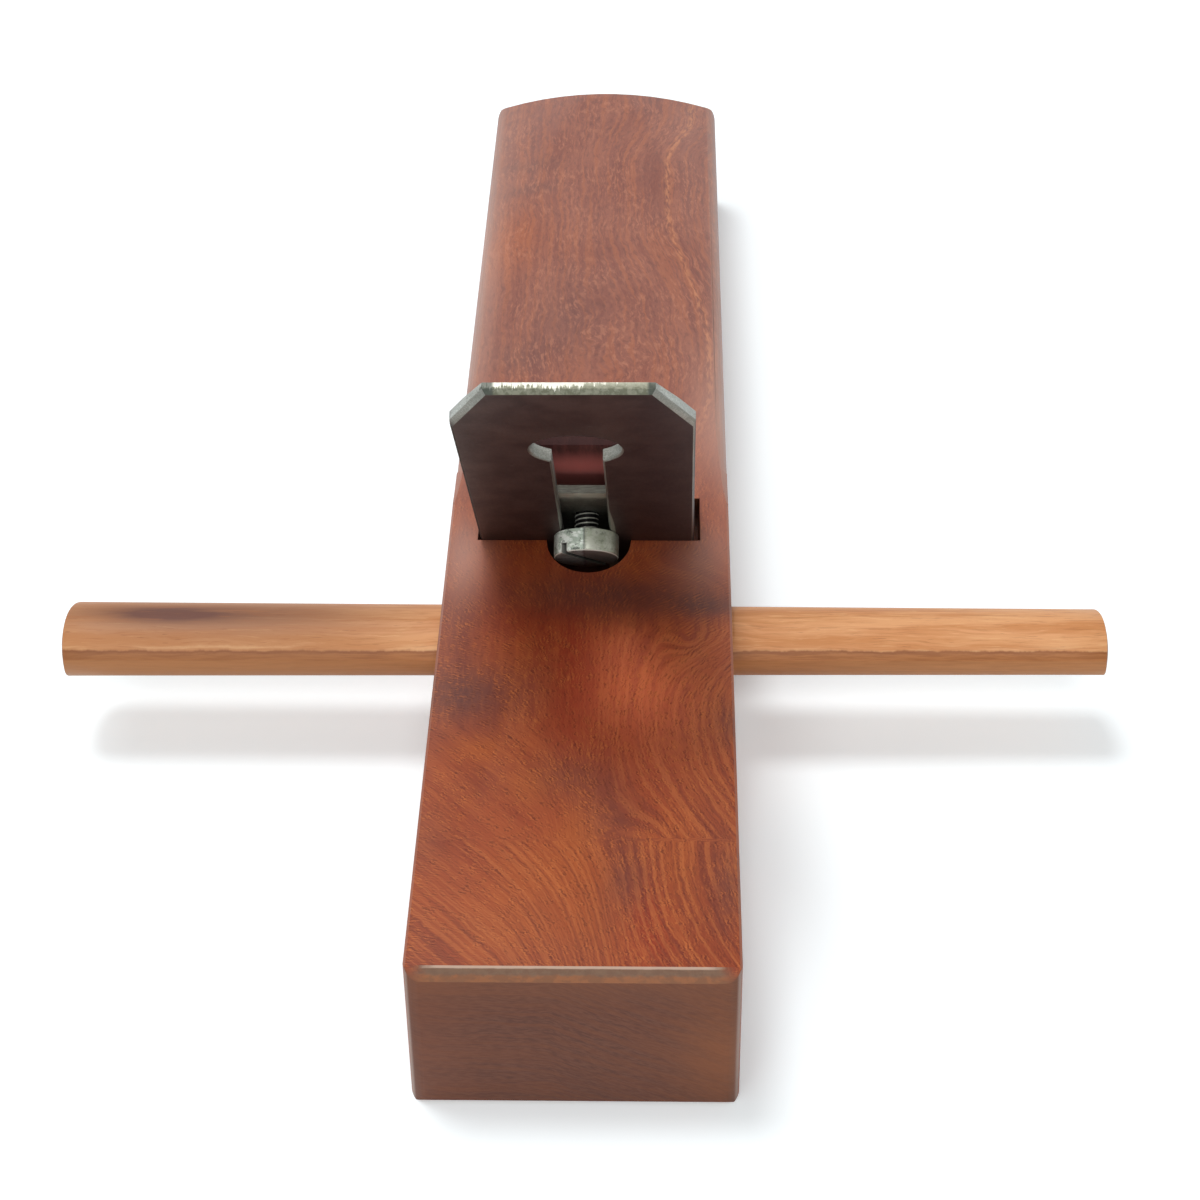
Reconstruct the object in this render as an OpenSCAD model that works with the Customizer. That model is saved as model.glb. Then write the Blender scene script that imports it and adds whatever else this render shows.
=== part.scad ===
// Wooden jack plane of the Chinese pattern: a solid stock with a leaning iron,
// a cap iron and its screw, a forked wedge and a cross handle that runs
// through the stock behind the iron.
// Frame: X to the right seen from the heel, Y towards the toe, Z up.
// The origin is the middle of the sole. All sizes are in millimetres.

/* [Stock] */
// Length from heel to toe
body_l = 330; // [300:1:400]
// Width over the cheeks
body_w = 58; // [54:0.5:72]
// Height from the sole to the top
body_h = 32; // [27:0.5:40]
// Radius of the upright corners
corner_r = 3; // [1:0.5:6]
// Chamfer over the top edge of the heel
heel_chamfer = 2; // [1:0.5:4]
// Bevel round the crowned edge of the toe end
toe_chamfer = 1.2; // [0.5:0.1:3]
// Chamfer along the heel's long top edges
edge_chamfer = 0.5; // [0.3:0.1:1.5]
// Chamfer all round the sole
sole_chamfer = 0.8; // [0.3:0.1:2]

/* [Crowned toe] */
// Radius of the crown across the toe
crown_r = 90; // [80:1:140]
// Radius that rounds the crown into the sides
crown_edge_r = 3.5; // [2:0.5:6]
// How far behind the middle the rounded edges run out
runout_back = 28; // [20:1:40]
// Length of the curved run-out
runout_l = 15; // [8:1:18]
// Depth of the run-out where it meets the rounded edge
runout_depth = 1; // [0.9:0.1:2]

/* [Bed and throat] */
// Angle of the bed above the sole
bed_angle = 51; // [47:1:55]
// How far behind the middle the bed meets the sole
bed_foot = 13.5; // [5:0.5:25]
// Gap between the cutting edge and the front of the mouth
mouth_gap = 1.5; // [0.8:0.1:3]
// Height of the steep wear face above the mouth
wear_h = 7; // [5:0.5:9]
// Angle of the wear face above the sole
wear_angle = 78; // [70:1:85]
// Angle of the throat's front wall above the sole
throat_angle = 60; // [50:1:70]
// Side clearance of the iron in its groove, each side
groove_side = 1; // [0.5:0.1:1.5]
// Width of the abutment lip in each cheek
abutment_w = 4.5; // [3:0.5:6]
// Height at which the lips reach their full width
abutment_h = 15; // [10:1:18]
// Height of the full-width mouth below the lips
mouth_h = 2.5; // [1.5:0.5:4]
// Play of the screw head in its half-round groove, over its diameter
groove_play = 4.1; // [3:0.1:6]
// How far the groove runs on below the screw's axis
groove_below = 30.6; // [26:0.2:34]

/* [Iron] */
// Width of the iron
iron_w = 44; // [38:1:46]
// Thickness of the iron
iron_t = 2.5; // [2.2:0.1:3.2]
// Length of the iron from its cutting edge
iron_l = 139; // [125:1:180]
// Angle that the iron is turned to the left in its groove
iron_skew = 0.5; // [-0.6:0.1:0.6]
// Angle of the ground cutting bevel
grind_angle = 25; // [22:1:32]
// How far the cutting edge stands back from the sole at rest
edge_setback = 0.3; // [0.2:0.05:0.5]
// Width of each clipped corner at the top
clip_w = 7; // [4:0.5:12]
// Height of each clipped corner at the top
clip_h = 17.5; // [6:0.5:20]
// How much thinner the struck upper end is, on the side away from the bed
struck_thin = 0.5; // [0.2:0.1:0.8]
// Length of the thinner struck end
struck_l = 10; // [5:1:15]
// Bevel along the top edge and the clipped corners
top_bevel = 0.9; // [0.4:0.1:1.5]
// Bevel along the two long edges
side_bevel = 0.45; // [0.2:0.05:0.8]
// Bevel round the keyhole and along the slot
slot_bevel = 0.35; // [0.1:0.05:0.5]
// Play of the screw head in the keyhole, over its diameter
keyhole_play = 3.7; // [1.5:0.1:6]
// Distance from the cutting edge to the centre of the keyhole
keyhole_at = 105.6; // [100:0.2:112]
// Play of the screw's shank in the slot, over its diameter
slot_play = 4.6; // [1:0.1:6]
// How far the slot runs on below the screw's axis
slot_below = 9.6; // [6:0.1:12]

/* [Cap iron] */
// Thickness of the cap iron
cap_t = 2; // [1.8:0.1:2.6]
// Length of the cap iron
cap_l = 67.5; // [60:0.5:80]
// How far the cap iron's edge stands behind the cutting edge
cap_setback = 1.2; // [0.9:0.1:2]
// Length of the curved nose
nose_l = 6; // [4:0.5:9]
// Thickness left at the nose's edge
nose_edge = 0.2; // [0.1:0.05:0.6]
// Height of the bow between the nose and the upper end
cap_bow = 2.5; // [1:0.1:2.8]
// Length of the flat seat at the nose
nose_seat_l = 1; // [0.6:0.1:2]
// Length of the flat seat at the upper end
cap_seat_l = 2; // [1:0.5:5]
// Small clips on the cap iron's upper corners
cap_clip = 3; // [1:0.5:6]

/* [Cap iron screw] */
// Diameter of the cheese head
head_d = 13.3; // [12:0.1:13.6]
// Height of the cheese head
head_h = 4.8; // [3.5:0.1:5]
// Chamfer round the face of the head
head_chamfer = 0.5; // [0.2:0.1:0.8]
// Diameter of the shank
shank_d = 5; // [4:0.1:6]
// Distance from the cutting edge to the screw
screw_at = 46.2; // [44:0.2:52]
// Width of the screwdriver slot
driver_w = 1.3; // [0.8:0.1:2]
// Depth of the screwdriver slot
driver_depth = 1.9; // [1:0.1:2.5]
// Angle of the screwdriver slot
driver_angle = 48.5; // [0:0.5:180]

/* [Wedge] */
// Thickness of the wedge where it enters the stock
wedge_t = 5.3; // [4.5:0.1:7.5]
// Taper angle of the wedge
wedge_angle = 4; // [3:0.5:6]
// Distance from the cutting edge to the wedge's tips
wedge_tip = 17.6; // [14:0.2:22]
// Length of the wedge
wedge_l = 68.5; // [60:0.5:80]
// Side clearance of the wedge in its groove, each side
wedge_side = 1.6; // [0.4:0.1:2.4]
// Thickness left at the tips
tip_t = 1.3; // [0.8:0.1:2]
// Length of the bevelled tips
tip_l = 8; // [5:0.5:12]
// Radius of the arch between the two legs
arch_r = 12; // [8:0.5:14]
// Chamfer on the wedge's upper front edge
wedge_top_chamfer = 4; // [1:0.2:5]
// Clips on the wedge's upper corners
wedge_clip = 8; // [1:0.5:10]

/* [Cross handle] */
// Length from end to end
handle_l = 211.5; // [180:0.5:260]
// Offset of the handle's middle towards its thick end
handle_shift = 0.8; // [0:0.1:5]
// Distance from the bed's foot back to the handle's axis
handle_back = 45; // [42:0.5:70]
// Distance from the top of the stock down to the handle's arris
handle_drop = 9.7; // [8:0.1:12]
// Width at the thick end
handle_w = 18.6; // [14:0.2:20]
// Rise of the upper face above the arris at the thick end
handle_rise = 4.9; // [3.5:0.1:6]
// Depth of the belly below the arris at the thick end
handle_belly = 8.8; // [7:0.1:9]
// Size of the thin end as a share of the thick end
handle_taper = 0.88; // [0.8:0.01:0.96]
// Radius of the domed ends
dome_r = 21; // [18:1:40]
// Length of each domed end
dome_l = 6; // [4:0.5:8]
// How far the domes are set low and to the front
dome_shift = 2; // [0:0.2:3]

/* [Fits] */
// Gap between flat faces that lie on each other
face_gap = 0.05; // [0.02:0.01:0.1]
// Gap between the handle and its mortise
handle_gap = 0.1; // [0.05:0.01:0.2]
// Radial gap between the screw and its hole
thread_gap = 0.06; // [0.03:0.01:0.1]

/* [Hidden] */
$fn = 96;
// Overshoot of a cut past the face that it starts from
over = 2;
half_w = body_w / 2;
half_l = body_l / 2;

// Places along the bed are measured up from the bed's foot at the sole, and
// heights above the bed square to it. The edge lies on the iron's upper face.
iron_low = face_gap;
iron_high = iron_low + iron_t;
edge_s = (edge_setback - iron_high * cos(bed_angle)) / sin(bed_angle);
edge_y = -bed_foot - edge_s * cos(bed_angle) + iron_high * sin(bed_angle);
cap_low = iron_high + face_gap;

// The cap iron is bowed on an arc, and lies on the iron at its two ends only
bow_at = (nose_seat_l + cap_l - cap_seat_l) / 2;
bow_half = (cap_l - nose_seat_l - cap_seat_l) / 2;
bow_r = (bow_half * bow_half + cap_bow * cap_bow) / (2 * cap_bow);
function bow(s, r) = sqrt(r * r - (s - bow_at) * (s - bow_at)) + cap_bow - bow_r;
wedge_low = cap_low + cap_bow + cap_t + face_gap;

// The abutments hold the wedge: their plane rises from the bed by its taper
top_s = body_h / sin(bed_angle);
abutment_top = wedge_low + wedge_t + face_gap;
function abutment(s) = abutment_top + (s - top_s) * tan(wedge_angle);
function wedge_high(s) = abutment(s) - face_gap;

// Front of the throat, from the mouth up past the top
mouth_front = edge_y + mouth_gap;
knee_y = mouth_front + wear_h / tan(wear_angle);
throat_top_y = knee_y + (body_h - wear_h) / tan(throat_angle);
groove_half = iron_w / 2 + groove_side;
throat_half = groove_half - abutment_w;

// Openings that the screw passes through or runs along
screw_groove_r = (head_d + groove_play) / 2;
keyhole_r = (head_d + keyhole_play) / 2;
slot_w = shank_d + slot_play;
slot_end = screw_at - slot_below;

// The toe is worked above this height only. The crown sinks by crown_sink at
// the sides, and tilts so that it fades to the rear.
toe_floor = body_h / 3;
crown_sink = crown_r - sqrt(crown_r * crown_r - half_w * half_w);
crown_tilt = atan(crown_sink / (half_l + runout_back));
runout_y = runout_l - runout_back;
runout_r = (runout_l * runout_l + runout_depth * runout_depth) / (2 * runout_depth);

handle_y = -bed_foot - handle_back;
handle_z = body_h - handle_drop;

// Lays children drawn as (side, up the bed, above the bed) onto the bed
module on_bed() {
    translate([0, -bed_foot, 0]) rotate([-bed_angle, 0, 0]) rotate([0, 0, 180]) children();
}

// Lays children drawn from the cutting edge up, turned in the groove as the iron is
module on_iron_line() {
    on_bed() translate([0, edge_s, 0]) rotate([0, 0, -iron_skew]) children();
}

// Extrudes a side profile, drawn as (along, up), to a width centred on X = 0
module across(width) {
    rotate([90, 0, 90]) linear_extrude(width, center = true) children();
}

// Cuts a 45 degree chamfer of the given size along the line from a to b at Z = 0
module chamfer_line(a, b, size) {
    run = b - a;
    translate([a[0], a[1], 0]) rotate([0, 0, atan2(run[1], run[0])])
        translate([-over, 0, 0]) rotate([45, 0, 0])
            translate([0, -size / sqrt(2), -size / sqrt(2)])
                cube([norm(run) + 2 * over, size * sqrt(2), size * sqrt(2)]);
}

// Plan of the stock, with its round corners
module stock_plan() {
    square([body_w, body_l - 2 * corner_r], center = true);
    square([body_w - 2 * corner_r, body_l], center = true);
    for (side = [-1, 1], end = [-1, 1])
        translate([side * (half_w - corner_r), end * (half_l - corner_r)]) circle(corner_r);
}

// Section across the crowned toe, its top at the origin, with round edges.
// The edge arcs stand a hair proud of the crown, so that they cross it cleanly.
module crown_section() {
    proud = 0.01;
    edge_x = half_w - crown_edge_r;
    reach = crown_r - crown_edge_r + proud;
    edge_z = sqrt(reach * reach - edge_x * edge_x) - crown_r;
    join_x = edge_x * crown_r / reach;
    floor_z = -1.5 * body_h;
    intersection() {
        translate([0, -crown_r]) circle(crown_r, $fn = 360);
        translate([-join_x, floor_z]) square([2 * join_x, -floor_z + over]);
    }
    for (side = [-1, 1]) translate([side * edge_x, edge_z]) circle(crown_edge_r);
    translate([-half_w, floor_z]) square([body_w, edge_z - floor_z]);
}

// The space that the crown leaves, on a slope that dies out behind the throat
module crown_bar() {
    translate([0, half_l, body_h]) rotate([90 - crown_tilt, 0, 0])
        translate([0, 0, -over]) linear_extrude(body_l) crown_section();
}

// Cone about the crown's axis, which widens from the toe's end at 45 degrees
module toe_cone() {
    end_r = crown_r - toe_chamfer - over;
    translate([0, half_l, body_h]) rotate([90 - crown_tilt, 0, 0])
        translate([0, -crown_r, -over]) cylinder(h = body_h, r1 = end_r, r2 = end_r + body_h, $fn = 360);
}

// Where the toe is worked: ahead of the run-outs, and a wheel cut at each edge
module toe_zone() {
    translate([-half_w - over, runout_y, toe_floor])
        cube([body_w + 2 * over, body_l, body_h]);
    for (side = [-1, 1])
        translate([side * half_w, runout_y, body_h]) rotate([0, side * 45, 0])
            translate([0, 0, runout_r - runout_depth]) rotate([0, 90, 0])
                cylinder(h = 4 * crown_edge_r, r = runout_r, center = true, $fn = 360);
}

// Stock before the bed, the throat and the mortise are cut
module stock_blank() {
    difference() {
        linear_extrude(body_h) stock_plan();
        difference() {
            toe_zone();
            crown_bar();
        }
        // bevel round the toe's end, which follows the crown
        difference() {
            translate([-half_w - over, half_l - 3 * toe_chamfer, toe_floor])
                cube([body_w + 2 * over, 3 * toe_chamfer + over, body_h]);
            toe_cone();
        }
        // chamfer over the heel's end
        across(body_w + 2 * over) polygon([
            [-half_l - over, body_h - heel_chamfer - over],
            [-half_l - over, body_h + over],
            [-half_l + heel_chamfer + over, body_h + over]]);
        // long edges of the heel, up to the run-outs
        for (side = [-1, 1]) translate([0, -half_l, body_h])
            chamfer_line([side * half_w, -over], [side * half_w, half_l - runout_back], edge_chamfer);
        // arrises of the sole
        for (side = [-1, 1]) {
            chamfer_line([side * half_w, -half_l - over], [side * half_w, half_l + over], sole_chamfer);
            chamfer_line([-half_w - over, side * half_l], [half_w + over, side * half_l], sole_chamfer);
        }
    }
}

// Everything behind the front wall of the throat, as a side profile
module behind_front_wall() {
    polygon([
        [-half_l, -over],
        [mouth_front - over / tan(wear_angle), -over],
        [knee_y, wear_h],
        [throat_top_y + over / tan(throat_angle), body_h + over],
        [-half_l, body_h + over]]);
}

// Groove for the iron, the cap iron and the wedge, closed by the abutments
module iron_groove() {
    low_s = -2 * wear_h;
    high_s = 2 * top_s;
    intersection() {
        on_bed() across(2 * groove_half) polygon([
            [low_s, 0],
            [high_s, 0],
            [high_s, abutment(high_s)],
            [low_s, abutment(low_s)]]);
        across(2 * groove_half + over) behind_front_wall();
    }
}

// Throat between the abutment lips, which spread to full width at the mouth
module throat() {
    intersection() {
        across(2 * groove_half + over) behind_front_wall();
        on_bed() translate([0, body_h, body_l / 2])
            cube([2 * groove_half, 4 * body_h, body_l], center = true);
        rotate([90, 0, 0]) linear_extrude(body_l, center = true) polygon([
            [-groove_half, -over],
            [groove_half, -over],
            [groove_half, mouth_h],
            [throat_half, abutment_h],
            [throat_half, body_h + over],
            [-throat_half, body_h + over],
            [-throat_half, abutment_h],
            [-groove_half, mouth_h]]);
    }
}

// Half-round groove in the bed, which the screw head runs down
module screw_groove() {
    start_s = edge_s + screw_at - groove_below + screw_groove_r;
    on_bed() translate([0, start_s, 0]) {
        rotate([-90, 0, 0]) cylinder(h = 2 * top_s, r = screw_groove_r);
        rotate([45, 0, 0]) sphere(screw_groove_r);
    }
}

// One round face of the handle, which narrows towards the thin end.
// The face passes through both arrises and the crest, a height above them.
module handle_face(crest, up, gap) {
    half = handle_w / 2;
    face_r = (half * half + crest * crest) / (2 * crest);
    low = up * (crest - face_r);
    drift = atan(low * (1 - handle_taper) / handle_l);
    translate([-handle_l / 2, 0, low]) rotate([0, 90 + drift, 0])
        cylinder(h = handle_l, r1 = face_r + gap, r2 = face_r * handle_taper + gap, $fn = 180);
}

// Body of the handle about its own axis, with its thick end at -X
module handle_bar(gap) {
    translate([-handle_shift, handle_y, handle_z]) intersection() {
        handle_face(handle_rise, 1, gap);
        handle_face(handle_belly, -1, gap);
    }
}

module body() {
    color("saddlebrown") difference() {
        stock_blank();
        iron_groove();
        throat();
        screw_groove();
        handle_bar(handle_gap);
    }
}

// Bevel on the bed side round a hole of the given radius
module hole_bevel(r) {
    translate([0, 0, -over])
        cylinder(h = 2 * over, r1 = r + slot_bevel + over, r2 = r + slot_bevel - over);
}

// Outline of the iron, as (side, up from the cutting edge)
module iron_outline() {
    half = iron_w / 2;
    difference() {
        polygon([
            [-half, 0],
            [half, 0],
            [half, iron_l - clip_h],
            [half - clip_w, iron_l],
            [clip_w - half, iron_l],
            [-half, iron_l - clip_h]]);
        translate([0, keyhole_at]) circle(keyhole_r);
        translate([-slot_w / 2, slot_end + slot_w / 2])
            square([slot_w, keyhole_at - slot_end - slot_w / 2]);
        translate([0, slot_end + slot_w / 2]) circle(slot_w / 2);
    }
}

module plane_iron() {
    half = iron_w / 2;
    slot_half = slot_w / 2;
    slot_low = slot_end + slot_half;
    grind_l = iron_t / tan(grind_angle);
    color([0.22, 0.17, 0.17]) on_iron_line() translate([0, 0, iron_low]) difference() {
        linear_extrude(iron_t) iron_outline();
        // cutting bevel on the bed side
        across(iron_w + 2 * over) polygon([
            [-over, iron_t + over * tan(grind_angle)],
            [-over, -over],
            [grind_l + over / tan(grind_angle), -over]]);
        for (side = [-1, 1]) {
            chamfer_line([side * half, 0], [side * half, iron_l - clip_h], side_bevel);
            chamfer_line([side * half, iron_l - clip_h], [side * (half - clip_w), iron_l], top_bevel);
        }
        chamfer_line([-half, iron_l], [half, iron_l], top_bevel);
        // struck end, thinned by hammering
        across(iron_w + 2 * over) polygon([
            [iron_l - struck_l, iron_t],
            [iron_l + struck_l, iron_t - 2 * struck_thin],
            [iron_l + struck_l, iron_t + over],
            [iron_l - struck_l, iron_t + over]]);
        // round the keyhole and down the slot
        translate([0, keyhole_at, 0]) hole_bevel(keyhole_r);
        translate([0, slot_low, 0]) {
            hole_bevel(slot_half);
            rotate([90, 0, 180]) linear_extrude(keyhole_at - slot_low) polygon([
                [-slot_half - slot_bevel - over, -over],
                [slot_half + slot_bevel + over, -over],
                [slot_half + slot_bevel - over, over],
                [over - slot_half - slot_bevel, over]]);
        }
    }
}

// Side profile of the cap iron: nose at the origin, underside along the iron
module cap_profile() {
    nose_h = bow(nose_l, bow_r + cap_t);
    nose_drop = nose_h - nose_edge;
    nose_r = (nose_l * nose_l + nose_drop * nose_drop) / (2 * nose_drop);
    difference() {
        intersection() {
            square([cap_l, cap_bow + cap_t]);
            translate([bow_at, cap_bow - bow_r]) circle(bow_r + cap_t, $fn = 360);
        }
        translate([bow_at, cap_bow - bow_r]) circle(bow_r, $fn = 360);
        // the nose curves down from the upper face to its edge
        difference() {
            translate([-over, -over]) square([nose_l + over, nose_h + 2 * over]);
            translate([nose_l, nose_h - nose_r]) circle(nose_r, $fn = 180);
        }
    }
}

module cap_iron() {
    half = iron_w / 2;
    color([0.42, 0.42, 0.4]) on_iron_line() translate([0, 0, cap_low]) difference() {
        translate([0, cap_setback, 0]) intersection() {
            across(iron_w) cap_profile();
            linear_extrude(cap_bow + cap_t) polygon([
                [-half, -over],
                [half, -over],
                [half, cap_l - cap_clip],
                [half - cap_clip, cap_l],
                [cap_clip - half, cap_l],
                [-half, cap_l - cap_clip]]);
        }
        translate([0, screw_at, -over])
            cylinder(h = cap_bow + cap_t + 2 * over, r = shank_d / 2 + thread_gap);
    }
}

// Cheese-headed screw: the head seats on the iron's bed side
module cap_iron_screw() {
    head_r = head_d / 2;
    // the shank ends flush with the cap iron's upper face
    shank_l = cap_low + bow(screw_at - cap_setback, bow_r + cap_t) - iron_low;
    color([0.62, 0.63, 0.58]) on_iron_line() translate([0, screw_at, iron_low - face_gap]) difference() {
        rotate_extrude() polygon([
            [0, -head_h],
            [head_r - head_chamfer, -head_h],
            [head_r, head_chamfer - head_h],
            [head_r, 0],
            [shank_d / 2, 0],
            [shank_d / 2, shank_l],
            [0, shank_l]]);
        rotate([0, 0, driver_angle]) translate([-head_d, -driver_w / 2, -head_h - over])
            cube([2 * head_d, driver_w, driver_depth + over]);
    }
}

// Side profile of the wedge, as (up the bed, above the bed)
module wedge_profile() {
    low = edge_s + wedge_tip;
    high = low + wedge_l;
    polygon([
        [low, wedge_low],
        [high, wedge_low],
        [high, wedge_high(high) - wedge_top_chamfer],
        [high - wedge_top_chamfer, wedge_high(high - wedge_top_chamfer)],
        [low + tip_l, wedge_high(low + tip_l)],
        [low, wedge_low + tip_t]]);
}

module wedge() {
    half = groove_half - wedge_side;
    low = edge_s + wedge_tip;
    high = low + wedge_l;
    clear = wedge_high(high) + over;
    color([0.36, 0.16, 0.13]) on_bed() intersection() {
        difference() {
            across(2 * half) wedge_profile();
            translate([0, low, 0]) cylinder(h = clear, r = arch_r);
        }
        linear_extrude(clear) polygon([
            [-half, low - over],
            [half, low - over],
            [half, high - wedge_clip],
            [half - wedge_clip, high],
            [wedge_clip - half, high],
            [-half, high - wedge_clip]]);
    }
}

// Handle with domed ends, let through the stock from its thick end
module cross_handle() {
    color([0.72, 0.5, 0.32]) difference() {
        handle_bar(0);
        translate([-handle_shift, handle_y, handle_z]) for (end = [-1, 1]) difference() {
            translate([end * (handle_l - dome_l + over) / 2, 0, 0])
                cube([dome_l + over, 2 * handle_w, 2 * handle_w], center = true);
            translate([end * (handle_l / 2 - dome_r), -dome_shift, -dome_shift])
                rotate([0, 0, 90]) sphere(dome_r, $fn = 180);
        }
    }
}

body();
plane_iron();
cap_iron();
cap_iron_screw();
wedge();
cross_handle();
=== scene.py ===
"""Looks, light and camera of the wooden jack plane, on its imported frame."""

import math

import bpy
from mathutils import Matrix, Vector


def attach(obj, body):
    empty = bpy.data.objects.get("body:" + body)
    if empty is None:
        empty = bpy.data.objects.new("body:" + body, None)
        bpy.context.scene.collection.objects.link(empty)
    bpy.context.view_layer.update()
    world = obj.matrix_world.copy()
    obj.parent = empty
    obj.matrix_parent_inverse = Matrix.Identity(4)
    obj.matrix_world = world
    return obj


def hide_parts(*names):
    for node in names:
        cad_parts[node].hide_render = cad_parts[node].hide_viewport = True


MM = 0.001

# Camera, from the outlines of the stock, the iron and the handle
CAMERA_AT = (14.33, -490.83, 357.85)
CAMERA_YAW = 1.546
CAMERA_PITCH = 37.08
CAMERA_ROLL = -0.715
CAMERA_RANGE = (0.01, 20)
SENSOR = 36
LENS = 80.926

# Light from all round, as a share of the floor's brightness. Then for each sun the place that
# it shines from in millimetres, its width there in metres, and its share of that brightness
AMBIENT = 0.25
LAMPS = {
    "back": ((-240, 260, 1130), 0.38, 0.36),
    "left_1": ((-620, 700, 1130), 0.6, 0.05),
    "left_2": ((-620, 100, 1130), 0.6, 0.05),
    "left_3": ((-620, -500, 1130), 0.6, 0.05),
    "left_4": ((-500, -1100, 1130), 0.6, 0.07),
    "front": ((100, -1100, 1130), 0.5, 0.2),
}
FLOOR_SIZE = 4
FLOOR_GLOW = 0.22
FLOOR_ROUGHNESS = 0.8

# The plane in millimetres: the stock, the bed's foot and slope, the iron and its place on the bed
STOCK_TOP = 32
STOCK_HALF_W = 29
BED_ANGLE = math.radians(51)
BED_FOOT = -13.5
EDGE_UP = -1.679
SKEW = math.radians(0.5)
IRON_L = 139
IRON_HALF_W = 22

# The cap iron's screw: how far up the iron it stands, and its sizes
SCREW_AT = 46.2
HEAD_R = 6.65
HEAD_H = 4.8
HEAD_ROUND = 0.5
HEAD_ROUND_DEGREES = (10, 27.5, 45, 62.5, 80)
HEAD_LOWER_EDGE = 0.15
HEAD_MIDDLE = 0.5
HEAD_STEPS = 96
SHANK_R = 2.5
SHANK_L = 6.8
SHANK_STEPS = 64
THREAD_FROM = 0.3
THREAD_RUN_IN = 0.4
THREAD_PITCH = 1.0
THREAD_DEPTH = 0.5
THREAD_CREST = 0.8
THREAD_RINGS = 16
DRIVER_W = 1.3
DRIVER_DEPTH = 1.9
DRIVER_ANGLE = math.radians(48.5)
DRIVER_REACH = 9
DRIVER_OVER = 1
# Where its axis crosses the bed, and the height of its driver slot's floor off the bed
SCREW_UP = EDGE_UP + SCREW_AT
SCREW_X = -SCREW_AT * math.sin(SKEW)
DRIVER_FLOOR = DRIVER_DEPTH - HEAD_H

# Edges are rounded by this much. The cap iron's aren't, because its mesh shades badly with it
SOFT_EDGES = {
    "body": 0.3,
    "plane_iron": 0.07,
    "cap_iron_screw": 0.08,
    "wedge": 0.3,
    "cross_handle": 0.12,
}
SOFT_FROM = math.radians(28)
SHARP_FROM = math.radians(35)
SOFT_SEGMENTS = 2
WELD = 0.002


def linear(value):
    """An 8-bit screen value as the linear value that a shader takes."""
    value /= 255
    return value / 12.92 if value <= 0.04045 else ((value + 0.055) / 1.055) ** 2.4


def palette(**colors):
    """Colours by name, from 8-bit screen values."""
    return {name: (*map(linear, color), 1) for name, color in colors.items()}


class Field:
    """A number that varies over a surface. Arithmetic on it adds nodes to its graph."""

    def __init__(self, graph, socket):
        self.graph, self.socket = graph, socket

    def __add__(self, other):
        return self.graph.math("ADD", self, other)

    def __sub__(self, other):
        return self.graph.math("SUBTRACT", self, other)

    def __rsub__(self, other):
        return self.graph.math("SUBTRACT", other, self)

    def __mul__(self, other):
        return self.graph.math("MULTIPLY", self, other)

    def __truediv__(self, other):
        return self.graph.math("DIVIDE", self, other)

    def __abs__(self):
        return self.graph.math("ABSOLUTE", self)

    def power(self, exponent):
        return self.graph.math("POWER", self, exponent)

    def least(self, other):
        return self.graph.math("MINIMUM", self, other)

    def most(self, other):
        return self.graph.math("MAXIMUM", self, other)

    def within(self, low, high):
        """0 below low, 1 above high, and a smooth step between. High may be the smaller."""
        node = self.graph.add("ShaderNodeMapRange", interpolation_type="SMOOTHSTEP")
        ends = (low, high, 0, 1) if low < high else (high, low, 1, 0)
        self.graph.feed(node.inputs["Value"], self)
        for name, value in zip(("From Min", "From Max", "To Min", "To Max"), ends):
            node.inputs[name].default_value = value
        return Field(self.graph, node.outputs["Result"])

    __radd__ = __add__
    __rmul__ = __mul__


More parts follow.
